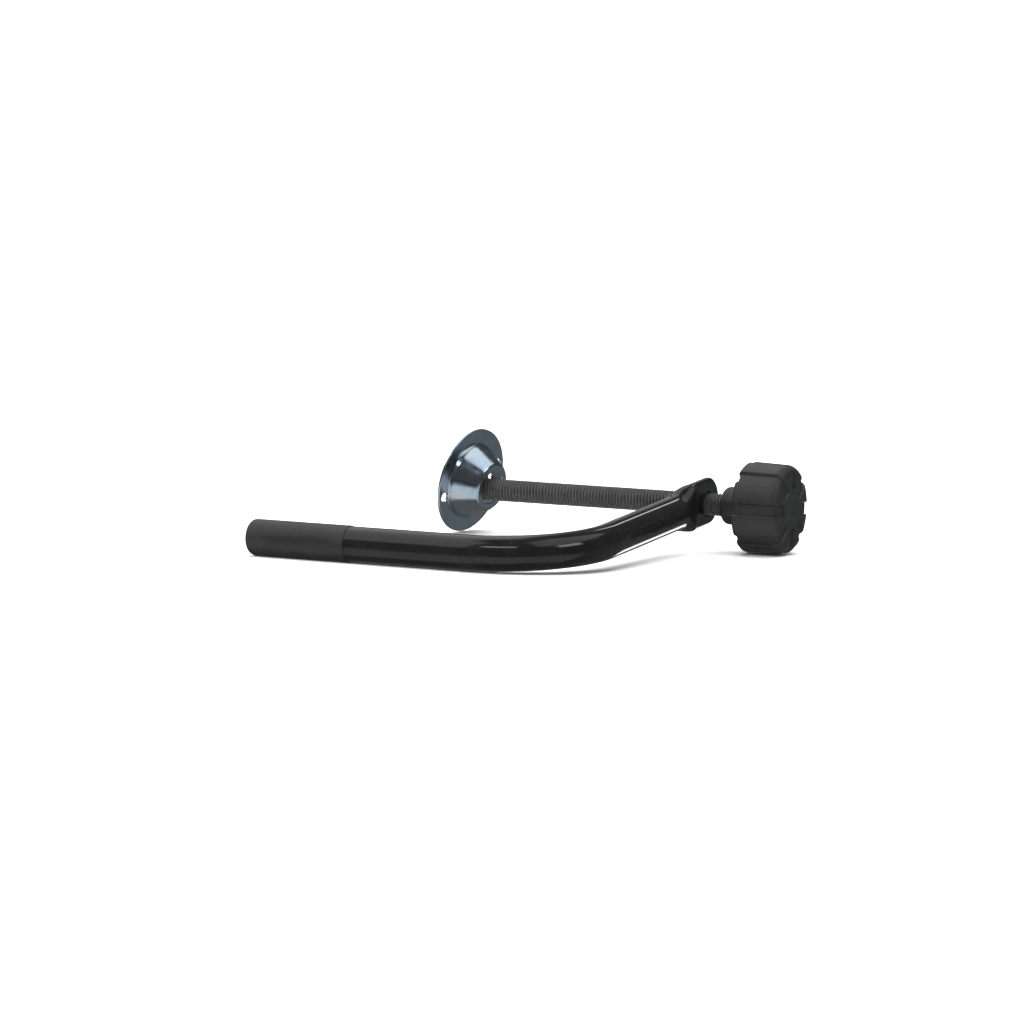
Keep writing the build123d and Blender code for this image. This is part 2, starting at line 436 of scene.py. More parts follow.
class NodeSketch:
    """A short way to write a shader's nodes."""

    def __init__(self, tree: bpy.types.NodeTree) -> None:
        """Start on a node tree and clear it."""
        self.tree = tree
        tree.nodes.clear()

    def add(self, kind: str, **settings: object) -> bpy.types.Node:
        """Add a node.

        Args:
            kind: Blender's name of the node's type.
            settings: Properties to set on it.

        Returns:
            The node.
        """
        node = self.tree.nodes.new(kind)
        for name, value in settings.items():
            setattr(node, name, value)
        return node

    def feed(self, socket: bpy.types.NodeSocket, value: object) -> None:
        """Link an output to a socket, or set the socket's own value."""
        if isinstance(value, bpy.types.NodeSocket):
            self.tree.links.new(value, socket)
        else:
            socket.default_value = value

    def place(self, stretch: tuple[float, float, float] = (1.0, 1.0, 1.0)) -> bpy.types.NodeSocket:
        """Coordinates in the piece's own metres, stretched along its axes."""
        source = self.add("ShaderNodeTexCoord")
        mapping = self.add("ShaderNodeMapping")
        self.feed(mapping.inputs["Vector"], source.outputs["Object"])
        mapping.inputs["Scale"].default_value = stretch
        return mapping.outputs["Vector"]

    def noise(
        self, grain_mm: float, detail: float = 3.0, stretch: tuple[float, float, float] = (1.0, 1.0, 1.0)
    ) -> bpy.types.NodeSocket:
        """Soft noise.

        Args:
            grain_mm: Size of its features in millimetres.
            detail: How many finer layers it has.
            stretch: Scale of each axis.

        Returns:
            Its value, from 0 to 1.
        """
        node = self.add("ShaderNodeTexNoise")
        self.feed(node.inputs["Vector"], self.place(stretch))
        node.inputs["Scale"].default_value = 1.0 / (grain_mm * MM)
        node.inputs["Detail"].default_value = detail
        return node.outputs["Fac"]

    def cells(self, grain_mm: float) -> bpy.types.NodeSocket:
        """Distance to the nearest of many random points, for pitted or grained skins."""
        node = self.add("ShaderNodeTexVoronoi")
        self.feed(node.inputs["Vector"], self.place())
        node.inputs["Scale"].default_value = 1.0 / (grain_mm * MM)
        return node.outputs["Distance"]

    def stored(self) -> bpy.types.NodeSocket:
        """How rubbed the mesh says each point is, and on the cup where a highlight is painted."""
        return self.add("ShaderNodeAttribute", attribute_name=WEAR_AND_HIGHLIGHT).outputs["Fac"]

    def scaled(self, value: object, share: float) -> bpy.types.NodeSocket:
        """A share of a value."""
        return self.math("MULTIPLY", value, share)

    def coat(self, shader: bpy.types.Node, colour: object, rough: object, normal: object) -> None:
        """Feed a surface shader.

        Args:
            shader: The shader.
            colour: Its base colour.
            rough: Its roughness.
            normal: Its normal.
        """
        self.feed(shader.inputs["Base Color"], colour)
        self.feed(shader.inputs["Roughness"], rough)
        self.feed(shader.inputs["Normal"], normal)

    def span(
        self, value: object, low: float, high: float, to_low: float = 0.0, to_high: float = 1.0
    ) -> bpy.types.NodeSocket:
        """Stretch a range of a value onto another range, smoothly and without leaving it.

        Args:
            value: The value.
            low: Start of its range.
            high: End of its range.
            to_low: What the start becomes.
            to_high: What the end becomes.

        Returns:
            The new value.
        """
        node = self.add("ShaderNodeMapRange", interpolation_type="SMOOTHSTEP")
        for name, number in (
            ("Value", value),
            ("From Min", low),
            ("From Max", high),
            ("To Min", to_low),
            ("To Max", to_high),
        ):
            self.feed(node.inputs[name], number)
        return node.outputs["Result"]

    def math(self, kind: str, *values: object) -> bpy.types.NodeSocket:
        """Do a sum on numbers.

        Args:
            kind: The operation.
            values: Its inputs, as numbers or outputs.

        Returns:
            The result.
        """
        node = self.add("ShaderNodeMath", operation=kind)
        for socket, value in zip(node.inputs, values):
            self.feed(socket, value)
        return node.outputs["Value"]

    def blend(self, share: object, first: object, second: object) -> bpy.types.NodeSocket:
        """Mix two colours.

        Args:
            share: How much of the second.
            first: The first colour.
            second: The second colour.

        Returns:
            The mixed colour.
        """
        node = self.add("ShaderNodeMix", data_type="RGBA")
        for place, value in ((0, share), (6, first), (7, second)):
            if isinstance(value, tuple):
                value = (*value, 1.0)
            self.feed(node.inputs[place], value)
        return node.outputs[2]

    def bump(
        self, height: object, depth_mm: float, strength: float, under: object = None
    ) -> bpy.types.NodeSocket:
        """Tilt the surface by a height.

        Args:
            height: The height, from 0 to 1.
            depth_mm: What a height of 1 measures, in millimetres.
            strength: How much of it is used.
            under: A normal that this one builds on.

        Returns:
            The new normal.
        """
        node = self.add("ShaderNodeBump")
        node.inputs["Strength"].default_value = strength
        node.inputs["Distance"].default_value = depth_mm * MM
        self.feed(node.inputs["Height"], height)
        if under is not None:
            self.feed(node.inputs["Normal"], under)
        return node.outputs["Normal"]


@dataclass(frozen=True)
class Finish:
    """What a surface is made of. Each kind adds its own grain, wear and relief.

    Attributes:
        name: Name of the material.
        slot: The record's slot that it stands for; nothing reads it.
        colour: Its own colour.
        metal: How metallic it is.
        ior: Index of refraction.
    """

    name: str
    slot: Slot
    colour: Colour
    metal: float = 0.0
    ior: float = 1.45

    def material(self) -> bpy.types.Material:
        """Make the material, or give the one that is already made."""
        made = bpy.data.materials.get(self.name)
        if made is not None:
            return made
        made = bpy.data.materials.new(self.name)
        made.use_nodes = True
        made.diffuse_color = (*self.colour, 1.0)
        sketch = NodeSketch(made.node_tree)
        shader = sketch.add("ShaderNodeBsdfPrincipled")
        output = sketch.add("ShaderNodeOutputMaterial")
        sketch.feed(output.inputs["Surface"], shader.outputs["BSDF"])
        shader.inputs["Metallic"].default_value = self.metal
        shader.inputs["IOR"].default_value = self.ior
        self.detail(sketch, shader)
        return made

    def detail(self, sketch: NodeSketch, shader: bpy.types.Node) -> None:
        """Add what sets this finish apart."""
        raise NotImplementedError

    def dress(self, piece: bpy.types.Object) -> None:
        """Give a piece this finish."""
        piece.data.materials.clear()
        piece.data.materials.append(self.material())


@dataclass(frozen=True)
class GlossCoat(Finish):
    """Thick gloss paint on steel: a slight peel, hairline scratches and settled dust."""

    def detail(self, sketch: NodeSketch, shader: bpy.types.Node) -> None:
        """Add peel, scratches and dust."""
        cloud = sketch.noise(14.0, 4.0)
        dust = sketch.span(sketch.cells(1.9), 0.0, 0.085, 1.0, 0.0)
        dust = sketch.math("MULTIPLY", dust, sketch.span(sketch.noise(6.0), 0.52, 0.66))
        hair = sketch.span(sketch.noise(0.5, 2.0, (0.06, 1.0, 1.0)), 0.68, 0.74)
        lighter = tuple(channel * 1.35 for channel in self.colour)
        colour = sketch.blend(sketch.span(cloud, 0.35, 0.7), self.colour, lighter)
        colour = sketch.blend(sketch.scaled(dust, 0.35), colour, (0.30, 0.30, 0.31))
        rough = sketch.span(cloud, 0.3, 0.75, 0.085, 0.12)
        rough = sketch.math("ADD", rough, sketch.scaled(hair, 0.03))
        rough = sketch.math("ADD", rough, sketch.scaled(dust, 0.35))
        peel = sketch.bump(sketch.noise(2.6, 1.0), 0.012, 0.4)
        sketch.coat(shader, colour, rough, sketch.bump(hair, 0.004, 0.12, peel))


@dataclass(frozen=True)
class MattVinyl(Finish):
    """Dull soft plastic: a fine pitted skin with rubbed, paler patches."""

    def detail(self, sketch: NodeSketch, shader: bpy.types.Node) -> None:
        """Add pits and rubbed patches."""
        patch = sketch.span(sketch.noise(9.0, 5.0), 0.42, 0.72)
        rubbed = tuple(channel * 1.6 for channel in self.colour)
        colour = sketch.blend(patch, self.colour, rubbed)
        grime = sketch.span(sketch.cells(0.9), 0.0, 0.12, 1.0, 0.0)
        colour = sketch.blend(sketch.scaled(grime, 0.18), colour, (0.16, 0.16, 0.16))
        waves = sketch.bump(sketch.noise(7.0, 1.0), 0.05, 0.4)
        pits = sketch.bump(sketch.noise(0.28, 3.0), 0.03, 0.55, waves)
        sketch.coat(shader, colour, sketch.span(patch, 0.0, 1.0, 0.50, 0.64), pits)


@dataclass(frozen=True)
class BlackOxide(Finish):
    """Chemically blackened steel: dark flanks, rubbed crests and an oily bloom."""

    def detail(self, sketch: NodeSketch, shader: bpy.types.Node) -> None:
        """Add the bloom and the rubbed crests."""
        bloom = sketch.span(sketch.noise(5.0, 5.0), 0.35, 0.7)
        brown = (self.colour[0] * 1.28, self.colour[1] * 1.22, self.colour[2] * 1.18)
        colour = sketch.blend(bloom, self.colour, brown)
        rub = sketch.math("MULTIPLY", sketch.stored(), sketch.span(sketch.noise(2.2), 0.3, 0.7))
        pale = tuple(min(1.0, channel * 2.0) for channel in self.colour)
        tool = sketch.bump(sketch.noise(0.22, 3.0), 0.02, 0.4)
        rough = sketch.span(bloom, 0.0, 1.0, 0.34, 0.52)
        sketch.coat(shader, sketch.blend(rub, colour, pale), rough, tool)


@dataclass(frozen=True)
class MouldedPlastic(Finish):
    """Moulded black plastic: a spark-eroded grain that is rubbed smooth on its edges."""

    def detail(self, sketch: NodeSketch, shader: bpy.types.Node) -> None:
        """Add the grain and the rubbed edges."""
        cloud = sketch.span(sketch.noise(8.0, 4.0), 0.35, 0.7)
        lighter = tuple(channel * 1.2 for channel in self.colour)
        colour = sketch.blend(cloud, self.colour, lighter)
        rub = sketch.math("MULTIPLY", sketch.stored(), sketch.span(sketch.noise(1.6), 0.35, 0.65))
        colour = sketch.blend(sketch.scaled(rub, 0.3), colour, (0.11, 0.11, 0.112))
        rough = sketch.span(cloud, 0.0, 1.0, 0.42, 0.56)
        rough = sketch.math("SUBTRACT", rough, sketch.scaled(rub, 0.12))
        grain = sketch.bump(sketch.noise(0.35, 3.0), 0.035, 0.6)
        sketch.coat(shader, colour, rough, sketch.bump(sketch.noise(10.0, 1.0), 0.06, 0.3, grain))


@dataclass(frozen=True)
class BrightZinc(Finish):
    """Clear passivated zinc on pressed sheet: a cold tint, fine dulling, drawing marks and paler rubbed
    edges, partly a painted highlight.
    """

    def detail(self, sketch: NodeSketch, shader: bpy.types.Node) -> None:
        """Add the tint, the dulling, the drawing marks and the paler edges, which are partly a painted
        highlight.
        """
        tint = sketch.span(sketch.noise(11.0, 4.0), 0.35, 0.68)
        blue = (self.colour[0] * 0.82, self.colour[1] * 0.93, self.colour[2] * 1.02)
        colour = sketch.blend(tint, self.colour, blue)
        dull = sketch.span(sketch.cells(1.1), 0.0, 0.10, 1.0, 0.0)
        dull = sketch.math("MULTIPLY", dull, sketch.span(sketch.noise(3.0), 0.5, 0.65))
        # Points the mesh marks as rubbed are painted paler: rubbed metal on the nut's corners, and on
        # the cup's rim and hole lip also a painted highlight.
        edge = sketch.scaled(sketch.stored(), 0.4)
        colour = sketch.blend(edge, colour, (0.80, 0.82, 0.84))
        colour = sketch.blend(sketch.scaled(dull, 0.5), colour, (0.30, 0.31, 0.33))
        rough = sketch.span(sketch.noise(4.0, 5.0), 0.3, 0.75, 0.13, 0.24)
        rough = sketch.math("ADD", rough, sketch.scaled(dull, 0.25))
        marks = sketch.bump(sketch.noise(0.7, 2.0), 0.004, 0.4)
        sketch.coat(shader, colour, rough, sketch.bump(sketch.noise(6.0, 1.0), 0.03, 0.35, marks))


@dataclass(frozen=True)
class DrawnSteel(Finish):
    """Bare drawn steel with fine lengthwise lines and faint stains."""

    def detail(self, sketch: NodeSketch, shader: bpy.types.Node) -> None:
        """Add the lines and the stains."""
        stain = sketch.span(sketch.noise(2.5, 4.0), 0.4, 0.7)
        darker = tuple(channel * 0.6 for channel in self.colour)
        colour = sketch.blend(stain, self.colour, darker)
        lines = sketch.bump(sketch.noise(0.15, 2.0, (1.0, 1.0, 0.05)), 0.01, 0.4)
        sketch.coat(shader, colour, sketch.span(stain, 0.0, 1.0, 0.26, 0.42), lines)


GLOSS_BLACK = GlossCoat("gloss_black_coat", Slot.GLOSS_BLACK, (0.0075, 0.0075, 0.008), ior=1.42)
MATT_SLEEVE = MattVinyl("matt_black_vinyl", Slot.MATT_SLEEVE, (0.0135, 0.0135, 0.0138), ior=1.5)
BLACK_OXIDE = BlackOxide("black_oxide_steel", Slot.BLACK_OXIDE, (0.074, 0.076, 0.078), metal=0.4)
KNOB_PLASTIC = MouldedPlastic("moulded_black_plastic", Slot.KNOB_PLASTIC, (0.0175, 0.0175, 0.018))
ZINC = BrightZinc("bright_zinc_plate", Slot.ZINC, (0.52, 0.56, 0.60), metal=1.0)
STEEL = DrawnSteel("drawn_steel", Slot.INSERT_STEEL, (0.48, 0.47, 0.46), metal=1.0)


# --------------------------------------------------------------------------- the bar


def slab_ring(
    half_thick: float, half_wide: float, rounding: float, count: int
) -> list[tuple[float, float]]:
    """Outline of a rounded slab with evenly spaced points; a circle when all three are equal.

    Args:
        half_thick: Half its thickness.
        half_wide: Half its width.
        rounding: Radius of its corners.
        count: Number of points.

    Returns:
        Pairs of thickness and width coordinates, from the middle of the thick side.
    """
    rounding = min(rounding, half_thick, half_wide)
    dense = []
    for step in range(count * 6):
        angle = 2.0 * math.pi * step / (count * 6)
        cosine, sine = math.cos(angle), math.sin(angle)
        across = rounding * cosine + math.copysign(half_thick - rounding, cosine)
        wide = rounding * sine + math.copysign(half_wide - rounding, sine)
        dense.append((across, wide))
    dense[0] = (half_thick, 0.0)
    lengths = [0.0]
    for here, there in zip(dense, [*dense[1:], dense[0]]):
        lengths.append(lengths[-1] + math.dist(here, there))
    ring, place = [], 0
    for number in range(count):
        wanted = lengths[-1] * number / count
        while lengths[place + 1] < wanted:
            place += 1
        here, there = dense[place], dense[(place + 1) % len(dense)]
        share = (wanted - lengths[place]) / max(1e-9, lengths[place + 1] - lengths[place])
        ring.append((between(here[0], there[0], share), between(here[1], there[1], share)))
    return ring


@dataclass
class BentBar:
    """The bent tube with its crushed, pierced end.

    Its own plane holds both legs: local x runs along the screw, local y from the long leg to
    the screw, and the local origin is where the short leg meets the screw's axis.
    """

    tube_r: float = 9.65
    bend_r: float = 57.15
    plate_thick: float = 4.4
    plate_half_wide: float = 13.2
    plate_overhang: float = 2.0
    plate_rise: float = 1.4
    edge_share: float = 0.92  # rounding of the plate's edge, as a share of half its thickness
    crush_start: float = 36.0
    crush_end: float = 16.0
    hole_r: float = 6.8
    hole_flare: float = 0.5
    end_wall: float = 2.4
    ring_points: int = 96
    leg_steps: int = 40
    bend_steps: int = 64
    short_steps: int = 32
    crush_steps: int = 40
    plate_steps: int = 14
    end_steps: int = 48
    near_start: float = 0.6  # share of the crush after which the near side is pressed in
    grown_by: float = 0.7  # share of the crush by which the plate has its full width

    def place(self) -> None:
        """Work out the bar's plane and the plate's face from the frame."""
        rod_low, rod_high = node_box("threaded_rod")
        leg_low, leg_high = node_box("bar_end_sleeve")
        rod, leg = (rod_low + rod_high) / 2.0, (leg_low + leg_high) / 2.0
        reach = Vector((0.0, rod.y - leg.y, rod.z - leg.z))
        self.spacing = reach.length
        self.across = reach.normalized()
        self.up = Vector((1.0, 0.0, 0.0)).cross(self.across)
        self.origin = Vector((node_box("bar_tube")[1].x - self.tube_r, rod.y, rod.z))
        self.tip = leg_low.x + self.end_wall - self.origin.x
        self.plate_back = node_box("eye_nut")[1].x - self.origin.x

    def world(self, x: float, y: float, z: float) -> Vector:
        """Turn a place in the bar's own plane into a place in the frame."""
        return self.origin + Vector((x, 0.0, 0.0)) + self.across * y + self.up * z

    def centre_line(self) -> list[tuple[float, float, float]]:
        """Give the stations of the round part.

        Returns:
            Local x, local y and the angle of the outward side, in radians.
        """
        stations = []
        straight = -self.bend_r - self.tip
        for step in range(self.leg_steps + 1):
            x = self.tip + straight * step / self.leg_steps
            stations.append((x, -self.spacing, -math.pi / 2.0))
        for step in range(1, self.bend_steps + 1):
            turn = math.pi / 2.0 * step / self.bend_steps - math.pi / 2.0
            x = -self.bend_r + self.bend_r * math.cos(turn)
            y = -self.spacing + self.bend_r + self.bend_r * math.sin(turn)
            stations.append((x, y, turn))
        start = self.bend_r - self.spacing
        run = -self.crush_start - start
        for step in range(1, self.short_steps + 1):
            stations.append((0.0, start + run * step / self.short_steps, 0.0))
        return stations

    def round_rings(self, shell: Shell) -> list[Ring]:
        """Lay the rings of the round part."""
        circle = slab_ring(self.tube_r, self.tube_r, self.tube_r, self.ring_points)
        rings = []
        for x, y, turn in self.centre_line():
            out_x, out_y = math.cos(turn), math.sin(turn)
            rings.append(
                shell.ring(self.world(x + out_x * a, y + out_y * a, b) for a, b in circle)
            )
        return rings

    def crushed_section(self, share: float) -> tuple[list[tuple[float, float]], float, float]:
        """Give a section of the crushed part.

        Args:
            share: 0 at the round tube and 1 at the flat plate.

        Returns:
            The section's points, and how far its middle is moved in x and z.
        """
        front = self.plate_back + self.plate_thick
        pressed = ease((share - self.near_start) / (1.0 - self.near_start))
        near = between(self.tube_r, front, pressed)
        far = between(-self.tube_r, self.plate_back, ease(share))
        grown = ease(share / self.grown_by)
        wide = between(self.tube_r, self.plate_half_wide, grown)
        rounding = (near - far) / 2.0 * between(1.0, self.edge_share, share)
        section = slab_ring((near - far) / 2.0, wide, rounding, self.ring_points)
        return section, (near + far) / 2.0, self.plate_rise * grown

    def plate_rings(self, shell: Shell) -> tuple[list[Ring], list[tuple[float, float]]]:
        """Lay the rings of the crushed part as far as the screw's axis.

        Args:
            shell: The bar's shell.

        Returns:
            The rings, and the plate's own section.
        """
        rings = []
        for step in range(1, self.crush_steps + 1):
            share = step / self.crush_steps
            y = between(-self.crush_start, -self.crush_end, share)
            section, shift, rise = self.crushed_section(share)
            rings.append(shell.ring(self.world(shift + a, y, rise + b) for a, b in section))
        section, shift, rise = self.crushed_section(1.0)
        for step in range(1, self.plate_steps + 1):
            y = between(-self.crush_end, self.plate_overhang, step / self.plate_steps)
            rings.append(shell.ring(self.world(shift + a, y, rise + b) for a, b in section))
        return rings, section

    def round_off(self, shell: Shell, last: Ring, section: list[tuple[float, float]]) -> None:
        """Sweep the upper half of the plate's section round its free end.

        Args:
            shell: The bar's shell.
            last: The ring on the screw's axis.
            section: The plate's own section.
        """
        half = self.ring_points // 2
        shift = self.plate_back + self.plate_thick / 2.0
        before = last[: half + 1]
        for step in range(1, self.end_steps):
            turn = math.pi * step / self.end_steps
            row = shell.ring(
                self.world(
                    shift + a,
                    self.plate_overhang + abs(b) * math.sin(turn),
                    self.plate_rise + abs(b) * math.cos(turn),
                )
                for a, b in section[: half + 1]
            )
            shell.bridge(before, row, closed=False)
            before = row
        lower = [last[0], *reversed(last[half:])]
        shell.bridge(before, lower, closed=False)

    def build(self) -> bpy.types.Object:
        """Make the bar and pierce its plate.

        Returns:
            The bar's object.
        """
        shell = Shell()
        rings = self.round_rings(shell)
        plate, section = self.plate_rings(shell)
        shell.loft([*rings, *plate])
        shell.cap(rings[0])
        self.round_off(shell, plate[-1], section)
        bar = shell.finish("bent_bar")
        back = self.origin + Vector((self.plate_back, 0.0, 0.0))
        axes = Axes(back, Vector((1.0, 0.0, 0.0)), Vector((0.0, 0.0, 1.0)))
        pierce(bar, axes, self.plate_thick, self.hole_r, self.hole_flare, 64)
        smooth(bar, 35.0)
        GLOSS_BLACK.dress(bar)
        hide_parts("bar_tube")
        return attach(bar, Body.BAR.value)


@dataclass
class EndSleeve:
    """The dull sleeve that is pushed over the long leg's end."""

    wall: float = 0.35
    end_wall: float = 2.4
    end_rounding: float = 3.4
    lip_rounding: float = 0.14

    def build(self) -> bpy.types.Object:
        """Make the sleeve as a closed skin with an inside."""
        low, high = node_box("bar_end_sleeve")
        outer_r = (high.y - low.y) / 2.0
        middle = (low + high) / 2.0
        axes = Axes(Vector((low.x, middle.y, middle.z)), Vector((1, 0, 0)), Vector((0, 0, 1)))
        length = high.x - low.x
        inner_r = outer_r - self.wall
        corners = [
            Corner(0.0, 0.0),
            Corner(0.0, outer_r, self.end_rounding),
            Corner(length, outer_r, self.lip_rounding),
            Corner(length, inner_r, self.lip_rounding),
            Corner(self.end_wall, inner_r),
            Corner(self.end_wall, 0.0),
        ]
        outline = refine(rounded_outline(corners, closed=False, steps=10), 2.5)
        sleeve = turned(axes, outline, even_angles(96), closed=False).finish("end_sleeve", 50.0)
        MATT_SLEEVE.dress(sleeve)
        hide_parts("bar_end_sleeve")
        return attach(sleeve, Body.BAR.value)


# --------------------------------------------------------------------------- the screw


@dataclass
class HexNut:
    """A hex nut with turned-off corners and a plain-edged bore."""

    name: str
    node: str
    body: Body
    finish: Finish
    across_flats: float = 19.05
    crown: float = 0.9
    bore_chamfer: float = 0.6
    bore_gap: float = 0.04
    face_share: float = 0.97  # radius of the end faces, as a share of half the flats' distance
    flat_cuts: int = 12

    def limit(self, radial: float, angle: float) -> float:
        """Keep the radius inside the hexagon."""
        flat = self.across_flats / 2.0
        turn = (angle + math.pi / 6.0) % (math.pi / 3.0) - math.pi / 6.0
        return min(radial, flat / math.cos(turn))

    def wear(self, radial: float, angle: float) -> float:
        """Say how rubbed a point is: the corners most."""
        turn = (angle + math.pi / 6.0) % (math.pi / 3.0) - math.pi / 6.0
        return ease((abs(turn) - 0.40) / 0.12) * ease((radial - 9.0) / 1.0)

    def build(self) -> bpy.types.Object:
        """Make the nut in its node's place."""
        low, high = node_box(self.node)
        rod_low, rod_high = node_box("threaded_rod")
        bore = (rod_high.y - rod_low.y) / 2.0 + self.bore_gap
        axes = screw_axes(low.x, Vector((0, 0, 1)))
        length = high.x - low.x
        flat = self.across_flats / 2.0
        face, corner = flat * self.face_share, flat / math.cos(math.pi / 6.0)
        eased = between(face, corner, 0.6)
        outline = [
            (0.0, bore + self.bore_chamfer),
            (0.0, face),
            (self.crown * 0.45, eased),
            (self.crown, corner),
            (length - self.crown, corner),
            (length - self.crown * 0.45, eased),
            (length, face),
            (length, bore + self.bore_chamfer),
            (length - self.bore_chamfer, bore),
            (self.bore_chamfer, bore),
        ]
        shell = turned(axes, outline, even_angles(6 * self.flat_cuts), self.limit, self.wear)
        nut = shell.finish(self.name, 28.0)
        self.finish.dress(nut)
        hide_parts(self.node)
        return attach(nut, self.body.value)


@dataclass
class ClampScrew:
    """The long screw with its real, right-hand thread."""

    pitch: float = 1.954
    depth: float = 1.15
    end_chamfer: float = 1.0
    gap: float = 0.02
    crease: float = 24.0
    cuts: int = 48
    crest_share: float = 0.16
    root_share: float = 0.14

    def steps(self, crest_r: float) -> list[tuple[float, float, float]]:
        """Give the thread's outline over one pitch.

        Args:
            crest_r: Radius of the crests.

        Returns:
            For each point its share of the pitch, its radius and how worn it is.
        """
        root_r = crest_r - self.depth
        root_end = self.root_share
        rise_end = (1.0 + self.root_share - self.crest_share) / 2.0
        crest_end = rise_end + self.crest_share
        soft = self.depth * 0.12
        return [
            (0.0, root_r, 0.0),
            (root_end, root_r, 0.0),
            (rise_end - 0.015, crest_r - soft, 0.5),
            (rise_end + 0.02, crest_r, 1.0),
            (crest_end - 0.02, crest_r, 1.0),
            (crest_end + 0.015, crest_r - soft, 0.5),
        ]

    def build(self) -> bpy.types.Object:
        """Make the screw; its rows lean with the thread, so that the crests stay clean."""
        low, high = node_box("threaded_rod")
        crest_r = (high.y - low.y) / 2.0 - self.gap
        axes = screw_axes(0.0, Vector((0, 1, 0)))
        shell = Shell()
        profile = self.steps(crest_r)
        turns = math.ceil((high.x - low.x) / self.pitch) + 2
        rings = []
        for number in range(turns * len(profile)):
            whole, step = divmod(number, len(profile))
            share, radius, wear = profile[step]
            points, shares = [], []
            for cut in range(self.cuts + 1):
                angle = 2.0 * math.pi * cut / self.cuts
                x = low.x + self.pitch * (whole + share + cut / self.cuts - 1.0)
                held = min(high.x, max(low.x, x))
                from_end = min(held - low.x, high.x - held)
                most = crest_r - max(0.0, self.end_chamfer - from_end)
                points.append(axes.point(held, min(radius, most), angle))
                shares.append(wear)
            rings.append(shell.ring(points, shares))
        shell.loft(rings, closed=False)
        screw = shell.finish("clamp_screw", self.crease)
        self.close_ends(screw)
        BLACK_OXIDE.dress(screw)
        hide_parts("threaded_rod")
        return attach(screw, Body.SCREW.value)

    def close_ends(self, screw: bpy.types.Object) -> None:
        """Close the open loops at the screw's two ends."""
        model = bmesh.new()
        model.from_mesh(screw.data)
        rim = [edge for edge in model.edges if edge.is_boundary]
        bmesh.ops.holes_fill(model, edges=rim, sides=0)
        bmesh.ops.recalc_face_normals(model, faces=model.faces)
        model.to_mesh(screw.data)
        model.free()
        smooth(screw, self.crease)


